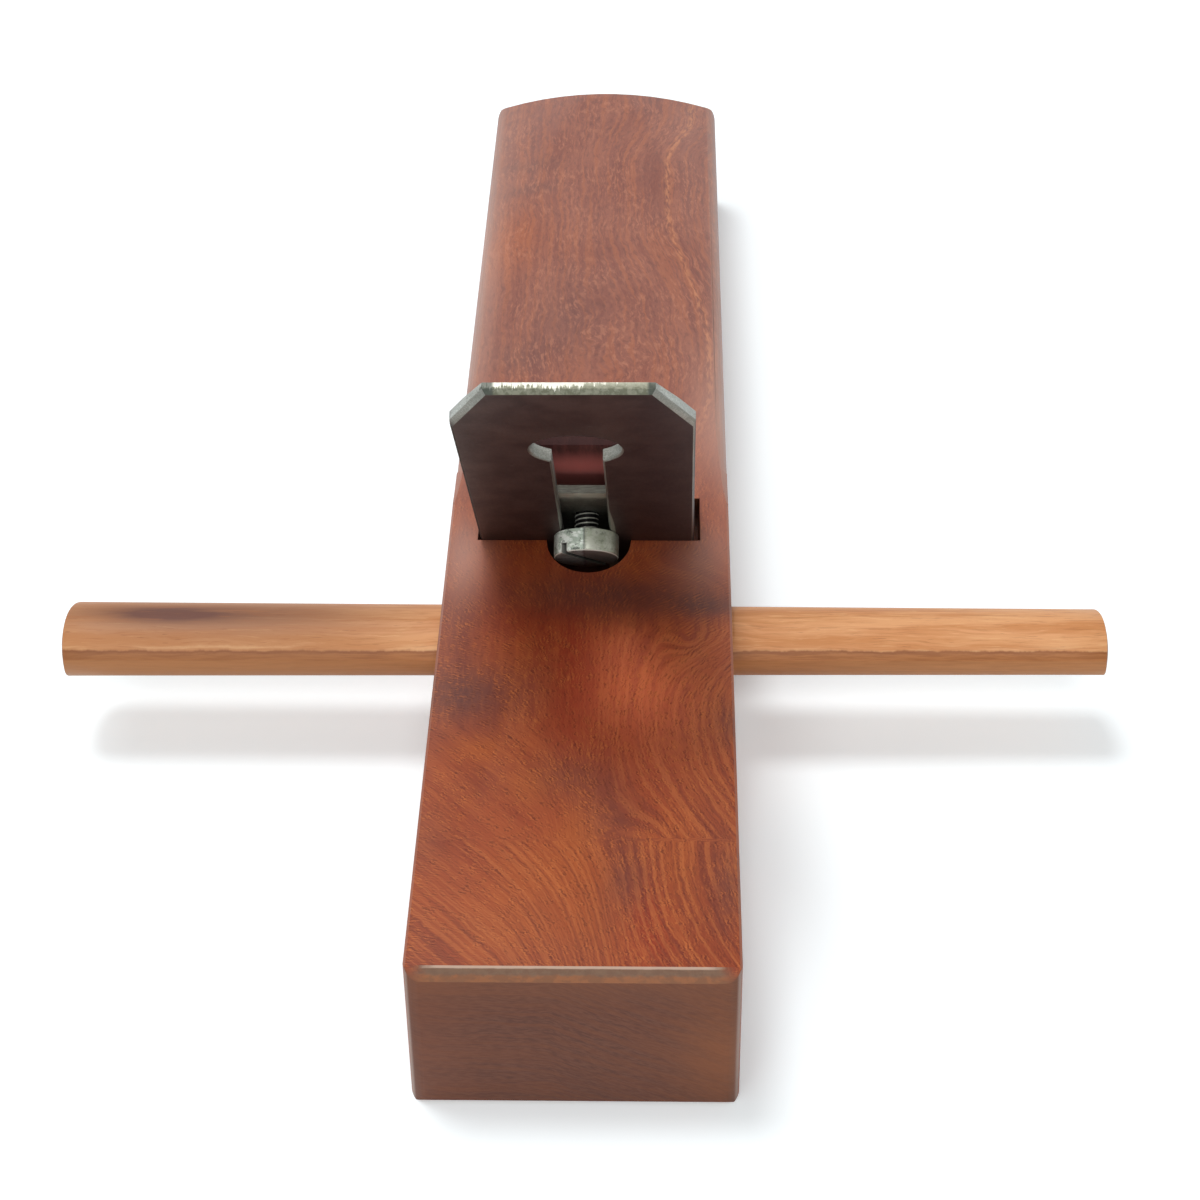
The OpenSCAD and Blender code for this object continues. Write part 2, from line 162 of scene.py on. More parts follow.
class Graph:
    """The nodes of one material, with the object's own coordinates in millimetres."""

    def __init__(self, name):
        self.material = bpy.data.materials.new(name)
        self.material.use_nodes = True
        self.tree = self.material.node_tree
        self.tree.nodes.clear()
        coordinates = self.add("ShaderNodeTexCoord")
        self.x, self.y, self.z = (v * 1000 for v in self.split(coordinates.outputs["Object"]))
        self.nx, self.ny, self.nz = self.split(coordinates.outputs["Normal"])
        self.axes = (self.x, self.y, self.z)

    def add(self, kind, **settings):
        node = self.tree.nodes.new(kind)
        for name, value in settings.items():
            setattr(node, name, value)
        return node

    def feed(self, socket, value):
        if isinstance(value, Field):
            self.tree.links.new(value.socket, socket)
        elif value is not None:
            socket.default_value = value

    def split(self, socket):
        node = self.add("ShaderNodeSeparateXYZ")
        self.tree.links.new(socket, node.inputs[0])
        return [Field(self, out) for out in node.outputs]

    def math(self, operation, a, b=None):
        node = self.add("ShaderNodeMath", operation=operation)
        self.feed(node.inputs[0], a)
        self.feed(node.inputs[1], b)
        return Field(self, node.outputs[0])

    def vector(self, x, y, z):
        node = self.add("ShaderNodeCombineXYZ")
        for socket, value in zip(node.inputs, (x, y, z)):
            self.feed(socket, value)
        return Field(self, node.outputs[0])

    def noise(self, x, y, z, detail=2, roughness=0.5):
        """Noise between 0 and 1, about one lump for each unit of its coordinates."""
        node = self.add("ShaderNodeTexNoise", noise_dimensions="3D")
        self.feed(node.inputs["Vector"], self.vector(x, y, z))
        node.inputs["Scale"].default_value = 1
        node.inputs["Detail"].default_value = detail
        node.inputs["Roughness"].default_value = roughness
        return Field(self, node.outputs["Fac"])

    def lumps(self, scales, detail=2, roughness=0.5):
        """Noise on the graph's axes, each times its own scale."""
        scaled = (axis * scale for axis, scale in zip(self.axes, scales))
        return self.noise(*scaled, detail, roughness)

    def shift(self, scales, width, detail=2, roughness=0.5):
        """Noise about 0, to move coordinates by up to half the width to each side."""
        return (self.lumps(scales, detail, roughness) - 0.5) * width

    def ripple(self, x, y, length, count, lean):
        """Ripples along leaning fibres: their length, and how many lie side by side in it."""
        node = self.add("ShaderNodeTexGabor", gabor_type="2D")
        self.feed(node.inputs["Vector"], self.vector(x, y, 0.0))
        node.inputs["Scale"].default_value = 1 / length
        node.inputs["Frequency"].default_value = count
        node.inputs["Anisotropy"].default_value = 1
        self.feed(next(i for i in node.inputs if i.identifier == "Orientation 2D"), lean)
        return Field(self, node.outputs["Value"])

    def hump(self, far_squared):
        """1 where a squared distance is 0, and fading out past 1."""
        return self.math("EXPONENT", far_squared * -1)

    def spot(self, at, size, u=None, v=None):
        """1 at a place on the plan or in the given coordinates, and fading out over size."""
        u = self.x if u is None else u
        v = self.y if v is None else v
        return self.hump(((u - at[0]) / size[0]).power(2) + ((v - at[1]) / size[1]).power(2))

    def total(self, zones):
        amount = 0.0
        for at, size, strength in zones:
            amount = self.spot(at, size) * strength + amount
        return amount

    def either(self, share, a, b):
        """Number a where share is 0 and b where it is 1."""
        node = self.add("ShaderNodeMix", data_type="FLOAT")
        for socket, value in zip(node.inputs[:2] + node.inputs[2:4], (share, None, a, b)):
            self.feed(socket, value)
        return Field(self, node.outputs[0])

    def blend(self, share, a, b):
        """Colour a where share is 0 and b where it is 1."""
        node = self.add("ShaderNodeMix", data_type="RGBA", clamp_factor=True)
        sockets = [i for i in node.inputs if i.type == "RGBA"]
        self.feed(node.inputs[0], share)
        self.feed(sockets[0], a)
        self.feed(sockets[1], b)
        return Field(self, next(o for o in node.outputs if o.type == "RGBA"))

    def over(self, color, *layers):
        """A colour with layers laid over it, each a share and a colour."""
        for share, layer in layers:
            color = self.blend(share, color, layer)
        return color

    def bump(self, height, size):
        """Relief of the given height in millimetres, for a field between 0 and 1."""
        node = self.add("ShaderNodeBump")
        node.inputs["Strength"].default_value = 1
        node.inputs["Distance"].default_value = size * MM
        self.feed(node.inputs["Height"], height)
        return Field(self, node.outputs["Normal"])

    def finish(self, color, roughness, normal, metallic=0.0, specular=0.5):
        shader = self.add("ShaderNodeBsdfPrincipled")
        self.feed(shader.inputs["Base Color"], color)
        self.feed(shader.inputs["Roughness"], roughness)
        self.feed(shader.inputs["Normal"], normal)
        self.feed(shader.inputs["Metallic"], metallic)
        self.feed(shader.inputs["Specular IOR Level"], specular)
        output = self.add("ShaderNodeOutputMaterial")
        self.tree.links.new(shader.outputs[0], output.inputs["Surface"])
        return self.material


# A spot of this size has no end in that direction
ENDLESS = 1000

STOCK_COLORS = palette(
    heel_dark=(134, 56, 32),
    heel_light=(160, 78, 41),
    toe_dark=(132, 76, 61),
    toe_light=(146, 87, 68),
    cloud=(118, 60, 46),
    red=(144, 42, 20),
    orange=(168, 86, 38),
    rose=(216, 108, 76),
    purple=(90, 55, 51),
    ring_light=(184, 104, 58),
    ring_dark=(106, 46, 34),
    heel_fibre_light=(194, 108, 56),
    heel_fibre_dark=(84, 32, 20),
    toe_fibre_light=(188, 124, 96),
    toe_fibre_dark=(98, 52, 40),
    ribbon=(204, 136, 92),
    shade=(80, 38, 31),
    # painted sheen of the top beside the iron and along the toe's edges
    rubbed=(198, 162, 148),
    end_dark=(92, 58, 47),
    end_light=(108, 70, 55),
    end_ring=(112, 66, 46),
    end_orange=(140, 84, 50),
    end_left=(122, 74, 54),
    end_top=(130, 84, 60),
    # painted sheen on the sloping long edges
    edge=(196, 160, 142),
    corner=(158, 132, 120),
    chamfer_low=(146, 94, 60),
    chamfer_high=(112, 92, 74),
    chamfer_dark=(92, 70, 56),
    # painted highlight along the top of the chamfer
    crest=(208, 178, 158),
)
# The top's figure changes from the heel's to the toe's over these places along the stock
TOE_Y = (-38, 35)
TOE_LINES_Y = (-56, -44)
# Fibres of the toe: they move aside over these places along the stock, and not at its left edge
WAVES = (((126, 156), 6.4), ((104, 36), 9.5), ((20, -30), -9.5))
WAVE_X = (-12, 18)
# Rings of the heel, each bend with where it starts along the stock, how far it goes on, how
# strong it is and where it fades in across the stock
ARC_Y, ARC_REACH, ARC_BEND, ARC_X = -95, 25, 0.0085, (2, 16)
CORNER_Y, CORNER_REACH, CORNER_BEND, CORNER_X = -93, 20, 0.02, (14, 22)
LEFT_Y, LEFT_SLOPE, LEFT_X = -100, 0.85, (4, -8)
# A crease crosses the heel here, and its rings start again, spread like a fan
CREASE_Y = -131
CREASE_W = 0.5
FAN_SLOPE, FAN_X = 0.9, (18, -14)
FAN_BEND, FAN_BEND_X = 0.008, (5, 20)
# Lean of the fibres on the heel: places, and degrees to the left
LEANS = (
    ((26, -77), -42), ((19, -86), -16), ((12, -78), -6), ((14, -98), 3), ((24, -100), 6),
    ((18, -116), 24), ((-22, -104), 57), ((-12, -112), 42), ((-2, -126), 38), ((3, -136), 20),
    ((-23, -92), 74), ((-21, -77), 68), ((-10, -86), 34), ((-9, -99), 26), ((-1, -88), -5),
    ((1, -104), 0), ((-2, -68), -3), ((-20, -62), 35), ((22, -62), -55), ((-23, -147), 76),
    ((-16, -136), 58), ((-15, -151), 48), ((-7, -144), 38), ((-3, -157), 33), ((8, -150), 20),
    ((22, -136), 8), ((25, -152), 17), ((-25, -160), 78), ((24, -121), 27),
)
LEAN_REACH = 8
# Far from all of those places the lean goes to 0 through this weight
LEAN_FLOOR = 0.002
# Zones on the top of the stock: place, size and strength
PURPLE_ZONES = (
    ((-23, -90), (12, 10), 1.0),
    ((-25, -68), (8, 12), 0.5),
    ((-1, -114), (9, 7), 0.55),
    ((6, -126), (6, 8), 0.5),
    # Painted shade: the heel darker along the foot of the iron, where the iron shades it
    ((6, -58), (22, 6), 0.7),
    ((25, -62), (10, 4), 0.8),
    ((29, -98), (4, 6), 0.6),
    ((9, -142), (4, 10), 0.5),
    ((27, -143), (3, 12), 0.6),
    ((-27, -131), (5, 8), 0.3),
    ((-18.5, 125), (8, 4), 0.5),
    ((-18.5, 112), (8, 3), 0.5),
    ((-7, 48), (9, 20), 0.4),
    ((-18, 31), (6, 8), 0.5),
)
ORANGE_ZONES = (
    ((24, -92), (6, 18), 0.5),
    ((-19, -106), (7, 4), 0.6),
    ((-9, -116), (5, 5), 0.7),
    ((0, -128), (4, 8), 0.7),
    ((-6, -140), (10, 8), 0.5),
    ((-10, -154), (14, 8), 0.45),
    ((3, -148), (4, 12), 0.3),
    ((18, -135), (4, 14), 0.45),
    ((-22, 85), (7, 16), 0.6),
)
RED_ZONES = (
    ((-2, -84), (5, 26), 0.7),
    ((-12, -66), (10, 9), 0.5),
    ((13, -152), (4, 12), 0.6),
    ((8, -100), (8, 16), 0.3),
)
# Painted sheen: zones of the top painted paler for the light they reflect beside the iron and
# along the toe's edges
PALE_ZONES = (
    ((27, 4), (7, 28), 0.4),
    ((-25, -45), (5, 14), 0.4),
    ((23, -45), (7, 12), 0.3),
    ((-28, 60), (4, 100), 0.35),
    ((29, 60), (2.5, 100), 0.25),
)
ROSE_ZONE = ((13, -92), (15, 26))
SHADE_ZONE = ((0, -60), (24, 9))
END_ORANGE_ZONE = ((27, 12), (9, 14))
RIBBON_X = 16.3
RIBBON_W = 0.7
END_FACE_FROM = (140, 150)


class StockWood(Graph):
    """Graph of the stock, with the fields that its layers share."""

    def __init__(self, name):
        super().__init__(name)
        x, y, z = self.axes
        self.end_face = abs(self.ny).within(0.6, 0.8)
        self.side_face = abs(self.nx).within(0.6, 0.8)
        self.toe = y.within(*TOE_Y)
        self.heel = (1 - self.toe) * (1 - self.end_face) * (1 - self.side_face)
        self.lines = self.top_lines()
        self.wiggle = self.shift((0.42, 0.42, 0.42), 1.4)
        self.jitter = self.shift((1.5, 1.5, 1.5), 1.1)
        self.cloud = self.lumps((0.07, 0.04, 0.06), detail=3)
        self.mottle = self.lumps((0.5, 0.5, 0.9), detail=3, roughness=0.6)

        slow = self.shift((0.05, 0.02, 0.05), 10)
        sloping = z + (x + 4).most(0) * 0.42 + x * 0.04 + slow * 0.3
        u = self.either(self.side_face, self.lines, z + slow)
        u = self.either(self.end_face, u, sloping)
        v = self.either(self.end_face, y + x * 0.35, x)
        drift = self.shift((0.08, 0.05, 0.08), 4) * (0.35 + y.within(-40, -30) * 0.65)
        u = u + (self.wiggle * 0.6 + drift) * self.either(self.end_face, 1.0, 0.25)
        depth = STOCK_TOP - z

        def grain(across, along, down, detail=2, roughness=0.6):
            return self.noise(u * across, v * along, depth * down, detail, roughness)

        self.fibre = grain(1.45, 0.3, 0.4, roughness=0.55)
        self.thread = grain(3.2, 0.5, 0.8)
        self.rings = grain(0.85, 0.02, 0.1)
        self.figure = grain(0.2, 0.03, 0.04, detail=3)

    def top_lines(self):
        """Coordinate across the fibres on the top: each fibre keeps one value of it."""
        x, y = self.x, self.y
        wave = 0.0
        for ends, aside in WAVES:
            wave = y.within(*ends) * aside + wave
        toe = x - wave * x.within(*WAVE_X)
        arc = (y - ARC_Y).least(ARC_REACH).power(2)
        corner = (y - CORNER_Y).most(0).least(CORNER_REACH).power(2)
        arcs = x - arc * ARC_BEND * x.within(*ARC_X)
        arcs = arcs - corner * CORNER_BEND * x.within(*CORNER_X)
        arcs = arcs + (y - LEFT_Y).least(0) * LEFT_SLOPE * x.within(*LEFT_X)
        past = (y - CREASE_Y).least(0)
        fan = x + past * x.within(*FAN_X) * FAN_SLOPE
        fan = fan - past.power(2) * FAN_BEND * x.within(*FAN_BEND_X)
        before = (y - CREASE_Y + self.shift((0.3, 0, 0), 2)).within(-CREASE_W, CREASE_W)
        return self.either(y.within(*TOE_LINES_Y), self.either(before, fan, arcs), toe)

    def fibre_lean(self):
        """Angle by which the fibres lean to the left, blended from the nearest of the LEANS."""
        turned, weight = 0.0, LEAN_FLOOR
        for at, degrees in LEANS:
            near = self.spot(at, (LEAN_REACH, LEAN_REACH))
            turned = near * math.radians(degrees) + turned
            weight = near + weight
        return turned / weight


def stock_ground(g):
    """Warm colour on the heel and a paler one to the toe, with patches and growth rings."""
    paint = STOCK_COLORS
    figure = g.figure.within(0.36, 0.64)
    warm = g.blend(figure * 0.7 + 0.15, paint["heel_dark"], paint["heel_light"])
    pale = g.blend(figure, paint["toe_dark"], paint["toe_light"])
    ringed = (g.x.within(-2, 12) * 0.75 + 0.25) * g.y.within(-60, -72)
    ringed = ringed.most(g.y.within(CREASE_Y + 5, CREASE_Y - 5) * 0.8).most(g.toe * 0.5)
    return g.over(
        g.blend(g.toe, warm, pale),
        (g.cloud.within(0.45, 0.65) * 0.3, paint["cloud"]),
        (g.total(RED_ZONES), paint["red"]),
        (g.total(ORANGE_ZONES), paint["orange"]),
        (g.rings.within(0.5, 0.6) * ringed * 0.5, paint["ring_light"]),
        (g.rings.within(0.47, 0.38) * ringed * 0.5, paint["ring_dark"]),
        (g.spot(*ROSE_ZONE) * 0.4, paint["rose"]),
        (g.total(PURPLE_ZONES) * 0.85, paint["purple"]),
    )


def stock_fibres(g, color):
    """Fibres over the ground: short leaning dashes on the heel, long threads to the toe."""
    paint = STOCK_COLORS
    light = g.blend(g.toe, paint["heel_fibre_light"], paint["toe_fibre_light"])
    dark = g.blend(g.toe, paint["heel_fibre_dark"], paint["toe_fibre_dark"])
    lean = g.fibre_lean()
    dash = g.ripple(g.x + g.wiggle * 0.5 + g.jitter, g.y + g.jitter + 40, 1.6, 1.9, lean)
    fine = g.ripple(g.x + g.jitter, g.y + g.wiggle * 0.4 + 90, 0.9, 1.7, lean)
    lively = g.noise(g.x * 0.11 + 7, g.y * 0.08, g.z * 0.1).within(0.36, 0.62) * 0.7 + 0.3
    speckle = g.noise(g.x * 0.7, g.y * 0.5, 4.0).within(0.34, 0.56) * g.heel
    for field, strength in ((dash, 0.5), (fine, 0.4)):
        color = g.over(
            color,
            (field.within(0.55, 0.68) * lively * speckle * strength, light),
            (field.within(0.43, 0.3) * speckle * strength, dark),
        )
    share = 1 - g.heel * 0.55
    ribbon = g.hump(((g.lines + g.wiggle * 0.6 - RIBBON_X) / RIBBON_W).power(2)) * g.toe
    return g.over(
        color,
        (g.fibre.within(0.52, 0.64) * lively * share * 0.4, light),
        (g.fibre.within(0.44, 0.34) * share * 0.4, dark),
        (g.thread.within(0.56, 0.7) * lively * share * 0.35, light),
        (g.thread.within(0.42, 0.3) * share * 0.4, dark),
        (ribbon * g.fibre.within(0.42, 0.58) * 0.5, paint["ribbon"]),
        (g.spot(*SHADE_ZONE) * 0.4, paint["shade"]),
        # Painted sheen: paler zones for reflected light
        (g.total(PALE_ZONES), paint["rubbed"]),
    )


def stock_end(g):
    """Browner wood of the two end faces."""
    paint = STOCK_COLORS
    return g.over(
        g.blend(g.thread.within(0.36, 0.64), paint["end_dark"], paint["end_light"]),
        (g.rings.within(0.42, 0.6) * 0.4, paint["end_ring"]),
        (g.spot(*END_ORANGE_ZONE, g.x, g.z) * 0.6, paint["end_orange"]),
        (g.x.within(-12, -27) * 0.4, paint["end_left"]),
        (g.z.within(22, 31) * 0.4, paint["end_top"]),
    )


def stock_edges(g, color, end):
    """Edges: paler long ones, a painted sheen, paler corners, and a ragged chamfer with a bright
    crest, a painted highlight.
    """
    paint = STOCK_COLORS
    slope = abs(g.nx).within(0.1, 0.5) * g.nz.within(0.2, 0.5)
    corner = abs(g.nx).within(0.2, 0.5) * abs(g.ny).within(0.2, 0.5)
    chamfer = (g.ny * -1).within(0.3, 0.55) * g.nz.within(0.3, 0.55)
    ragged = g.shift((0.5, 1, 0), 0.9, detail=3, roughness=0.7)
    outer = abs(g.x).within(STOCK_HALF_W - 1, STOCK_HALF_W - 0.5)
    higher = (g.z + ragged).within(STOCK_TOP - 1.4, STOCK_TOP - 0.9)
    worn = g.blend(higher, paint["chamfer_low"], paint["chamfer_high"])
    worn = g.blend(g.mottle.within(0.4, 0.6) * 0.4, worn, paint["chamfer_dark"])
    inner = abs(g.x + ragged * 2).within(STOCK_HALF_W - 0.8, STOCK_HALF_W - 4.5)
    # Painted highlight: a bright line along the top of the chamfer
    crest = (g.z + ragged * 0.15).within(STOCK_TOP - 0.4, STOCK_TOP - 0.25) * chamfer
    crest = crest * abs(g.x + ragged * 3).within(STOCK_HALF_W - 2.5, STOCK_HALF_W - 6)
    return g.over(
        color,
        # Painted sheen: the sloping long edges painted paler for the light they reflect
        (slope * 0.15, paint["edge"]),
        (corner * 0.9, g.blend(outer, end, paint["corner"])),
        (chamfer * inner * 0.85, worn),
        (crest * 0.7, paint["crest"]),
    )


def stock_wood():
    """Oiled rosewood: fibres that swirl behind the iron and run straight to the toe."""
    g = StockWood("stock_wood")
    color = stock_fibres(g, stock_ground(g))
    end = stock_end(g)
    color = g.blend(g.end_face * abs(g.y).within(*END_FACE_FROM) * 0.92, color, end)
    color = stock_edges(g, color, end)
    relief = (g.fibre * 0.6 + g.thread * 0.4) * (0.4 + g.toe * 0.6)
    gloss = 0.34 + g.fibre * 0.14 + g.cloud * 0.1
    return g.finish(color, gloss, g.bump(relief, 0.06), specular=0.22 + g.toe * 0.16)


HANDLE_COLORS = palette(
    dark=(200, 135, 84),
    light=(220, 161, 112),
    left=(180, 124, 80),
    purple=(106, 68, 56),
    fibre_dark=(158, 96, 54),
    fibre_light=(236, 192, 142),
    pore=(120, 66, 40),
    # painted shade of the lower facet, and painted light below the CAD's own arris
    facet_dark=(146, 88, 46),
    facet_light=(168, 108, 62),
    facet_left=(140, 94, 62),
    under=(196, 132, 80),
    arris=(120, 68, 40),
    glint=(230, 188, 140),
    end=(138, 84, 52),
)
# Height above the sole of the line where the handle's darker facet begins, its painted shade
ARRIS_Z = 23.8
ARRIS_W = 0.25
# Zones on the top of its left half: place and size
STREAK_ZONE = ((-76, -58.4), (34, 5.2))
STREAK_CORE = ((-86, -58.4), (11, 2.6))


def handle_facet(g, fibre, left):
    """Painted shade: darker, redder wood below the arris, and painted light again below the CAD's
    own arris, to even out the shading of the belly.
    """
    paint = HANDLE_COLORS
    return g.over(
        g.blend(fibre.within(0.38, 0.6), paint["facet_dark"], paint["facet_light"]),
        (left * 0.4, paint["facet_left"]),
        # Painted light below the CAD's own arris, evening out the belly's shading
        (g.z.within(ARRIS_Z - 1.2, ARRIS_Z - 1.8) * 0.5, paint["under"]),
    )


def handle_wood():
    """Golden brown with straight streaks, a darker, redder facet below the arris painted as its
    shade, and a purple streak.
    """
    g = Graph("handle_wood")
    paint = HANDLE_COLORS
    x, y, z = g.axes
    wobble = g.shift((0.05, 0.2, 0.2), 3, detail=3)
    streak = g.noise(x * 0.025, (y + wobble) * 0.4, (z + wobble) * 0.4, 4, 0.6)
    fibre = g.noise(x * 0.1, y * 1.7 + wobble, z * 1.7 + wobble, 4, 0.65)
    pores = g.lumps((0.25, 4, 4), roughness=0.6)
    left = x.within(-30, -60)
    top = g.nz.within(0.3, 0.6)
    purple = g.spot(*STREAK_ZONE) * top * (streak.within(0.3, 0.5) * 0.3 + 0.7)
    purple = (purple * 0.8 + g.spot(*STREAK_CORE) * top * 0.5).least(1.0)
    bright = fibre.within(0.56, 0.68) * (1 - purple) * (1 - left * 0.5)
    height = z + g.shift((0.3, 0.1, 0), 0.8, detail=3, roughness=0.7)
    arris = g.spot((0, ARRIS_Z - 0.15), (ENDLESS, ARRIS_W), x, height)
    glint = g.spot((0, ARRIS_Z + 0.45), (ENDLESS, ARRIS_W), x, height)
    color = g.over(
        g.blend(streak.within(0.36, 0.64), paint["dark"], paint["light"]),
        (left * 0.6, paint["left"]),
        (purple, paint["purple"]),
        (fibre.within(0.46, 0.34) * 0.35, paint["fibre_dark"]),
        (bright * 0.35, paint["fibre_light"]),
        (pores.within(0.34, 0.26) * 0.5, paint["pore"]),
        # Painted shade on the facet below the arris
        (height.within(ARRIS_Z + 0.1, ARRIS_Z - 0.15) * 0.92, handle_facet(g, fibre, left)),
        (arris * 0.5, paint["arris"]),
        (glint * streak.within(0.45, 0.6) * 0.3, paint["glint"]),
        (abs(g.nx).within(0.5, 0.9) * 0.6, paint["end"]),
    )
    relief = fibre * 0.6 + pores * 0.4
    return g.finish(color, 0.4 + fibre * 0.15, g.bump(relief, 0.05), specular=0.25)


class BedGraph(Graph):
    """A graph with distances up the bed and off it, and how far a face turns to each."""

    def __init__(self, name):
        super().__init__(name)
        rise, run = math.sin(BED_ANGLE), math.cos(BED_ANGLE)
        self.up = self.z * rise - (self.y - BED_FOOT) * run
        self.off = (self.y - BED_FOOT) * rise + self.z * run
        self.face_up = self.nz * rise - self.ny * run
        self.face_off = self.ny * rise + self.nz * run
        self.axes = (self.x, self.up, self.off)


WEDGE_COLORS = palette(
    dark=(88, 56, 54),
    light=(106, 66, 63),
    fibre_dark=(66, 40, 38),
    fibre_light=(142, 94, 86),
    # painted light on the face to the iron, where the iron shades it
    inner=(216, 130, 124),
    end=(56, 32, 31),
)
# Over these distances up the bed, from the upper one, its face to the iron is painted lighter, a
# painted light where the iron shades it
WEDGE_LIT_UP = (82, 70)


def wedge_wood():
    """Dark red brown, striped along its length, and painted lighter low on the face to the iron,
    a painted light against the iron's shade.
    """
    g = BedGraph("wedge_wood")
    paint = WEDGE_COLORS
    fibre = g.lumps((2.6, 0.25, 0.5), detail=3, roughness=0.65)
    ribbon = g.lumps((0.5, 0.06, 0.1)).within(0.4, 0.62)
    # Painted light on the lower part of the face to the iron, which the iron shades
    inner = g.face_off.within(-0.5, -0.8) * g.up.within(*WEDGE_LIT_UP)
    color = g.over(
        g.blend(ribbon, paint["dark"], paint["light"]),
        (fibre.within(0.5, 0.34) * 0.5, paint["fibre_dark"]),
        (fibre.within(0.55, 0.7) * 0.3, paint["fibre_light"]),
        (inner * 0.85, paint["inner"]),
        (abs(g.face_up).within(0.6, 0.9) * 0.8, paint["end"]),
    )
    return g.finish(color, 0.42 + fibre * 0.15, g.bump(fibre, 0.05), specular=0.12)


IRON_COLORS = palette(
    skin_dark=(58, 44, 42),
    skin_light=(76, 60, 56),
    skin_right=(54, 42, 46),
    skin_speck=(120, 106, 100),
    ground_dark=(150, 151, 144),
    ground_light=(184, 185, 178),
    ground_mottle=(116, 116, 108),
    clip_low=(104, 106, 100),
    keyhole=(104, 102, 94),
    beaten_dark=(108, 109, 90),
    beaten_light=(138, 138, 120),
    beaten_right=(206, 206, 186),
    beaten_crest=(218, 217, 203),
    beaten_end=(62, 68, 62),
    bed_side=(96, 96, 88),
    countersink=(158, 160, 146),
)
# Where the clipped corners begin, up the bed, and the middle and half width of the top edge
CLIPS_UP = IRON_L - 18
TOP_EDGE_X = -0.9
TOP_EDGE_HALF_W = 13.7
STRUCK_H = 3.2
# Bright strip beside the slot: its inner side, and how much wider it gets down the bed
STRIP_X = 4.1
STRIP_GROWTH, STRIP_GROWS_UP = 1.5, (76, 48)
STRIP_END_UP = (78, 74)


class IronSteel(BedGraph):
    """Graph of the iron, with the fields that its layers share."""

    def __init__(self, name):
        super().__init__(name)
        self.flat = abs(self.face_off).within(0.93, 0.985)
        self.struck = self.up.within(IRON_L - STRUCK_H, IRON_L - STRUCK_H + 0.6)
        self.struck = self.struck * self.face_up.within(0.4, 0.6)
        self.mottle = self.lumps((0.12, 0.12, 1), detail=4, roughness=0.6)
        self.grain = self.lumps((1.6, 0.5, 1), detail=3, roughness=0.7)
        self.scratch = self.lumps((0.5, 4, 4))
        self.dent = self.lumps((0.9, 0, 1.2), detail=3, roughness=0.7)
        below_clips = self.up.within(CLIPS_UP, CLIPS_UP - 3)
        left = self.x.within(2.5 - IRON_HALF_W, 1.5 - IRON_HALF_W)
        self.left_edge = left * below_clips * (1 - self.flat)
        outer = abs(self.x).within(IRON_HALF_W - 1.5, IRON_HALF_W - 1)
        self.side_wall = abs(self.nx).within(0.6, 0.75) * outer * below_clips


def iron_skin(g):
    """Blackened steel of the flat faces."""
    paint = IRON_COLORS
    speck = g.lumps((0.35, 1.1, 1), roughness=0.7)
    return g.over(
        g.blend(g.mottle.within(0.35, 0.65), paint["skin_dark"], paint["skin_light"]),
        (g.x.within(4, 18) * 0.4, paint["skin_right"]),
        (speck.within(0.68, 0.76) * 0.4, paint["skin_speck"]),
    )


def iron_ground(g):
    """Ground steel of the narrow faces, darker low on the clips and in the keyhole."""
    paint = IRON_COLORS
    clip = g.face_up.within(0.3, 0.5) * g.up.within(CLIPS_UP - 2, CLIPS_UP)
    key = g.off.within(-0.2, 0.1) * g.up.within(CLIPS_UP - 2, CLIPS_UP - 6)
    return g.over(
        g.blend(g.scratch.within(0.4, 0.62), paint["ground_dark"], paint["ground_light"]),
        (g.mottle.within(0.62, 0.42) * 0.4, paint["ground_mottle"]),
        (clip * (g.off + g.mottle).within(1.5, 1.2) * 0.7, paint["clip_low"]),
        (key * 0.35, paint["keyhole"]),
    )


def iron_struck(g):
    """The top edge, beaten by hammers: dull on the bed side, with a ragged bright crest of burred
    steel, partly a painted highlight.
    """
    paint = IRON_COLORS
    teeth = g.lumps((2.6, 0, 0.3), roughness=0.6)
    patch = g.noise(g.x * 0.4 + 3, 0.0, g.off * 0.2)
    level = 1.2 + g.x.within(-3, 7) * 0.8 - (teeth - 0.5) * 3.2
    level = level - (g.dent - 0.5) * 1.2 - (patch - 0.5) * 1.5
    ends = abs(g.x - TOP_EDGE_X).within(TOP_EDGE_HALF_W - 0.7, TOP_EDGE_HALF_W)
    return g.over(
        g.blend(g.dent.within(0.4, 0.6), paint["beaten_dark"], paint["beaten_light"]),
        (g.off.within(0.8, 2.2) * g.x.within(-6, 2) * 0.5, paint["beaten_right"]),
        # Ragged bright crest: bare burred steel, partly a painted highlight
        ((g.off - level).within(-0.1, 0.3), paint["beaten_crest"]),
        (ends * 0.85, paint["beaten_end"]),
    )


def iron_countersink(g):
    """Bright strip along the left side of the slot, on the bed side."""
    across = g.x + (g.up - EDGE_UP) * math.sin(SKEW)
    outer = across - g.up.within(*STRIP_GROWS_UP) * STRIP_GROWTH
    strip = outer.within(STRIP_X + 0.6, STRIP_X + 0.3)
    strip = strip * across.within(STRIP_X - 0.1, STRIP_X + 0.1)
    bed_side = g.off.within(0.3, 0.1) * g.face_off.within(-0.9, -0.97)
    return strip * g.up.within(*STRIP_END_UP) * bed_side


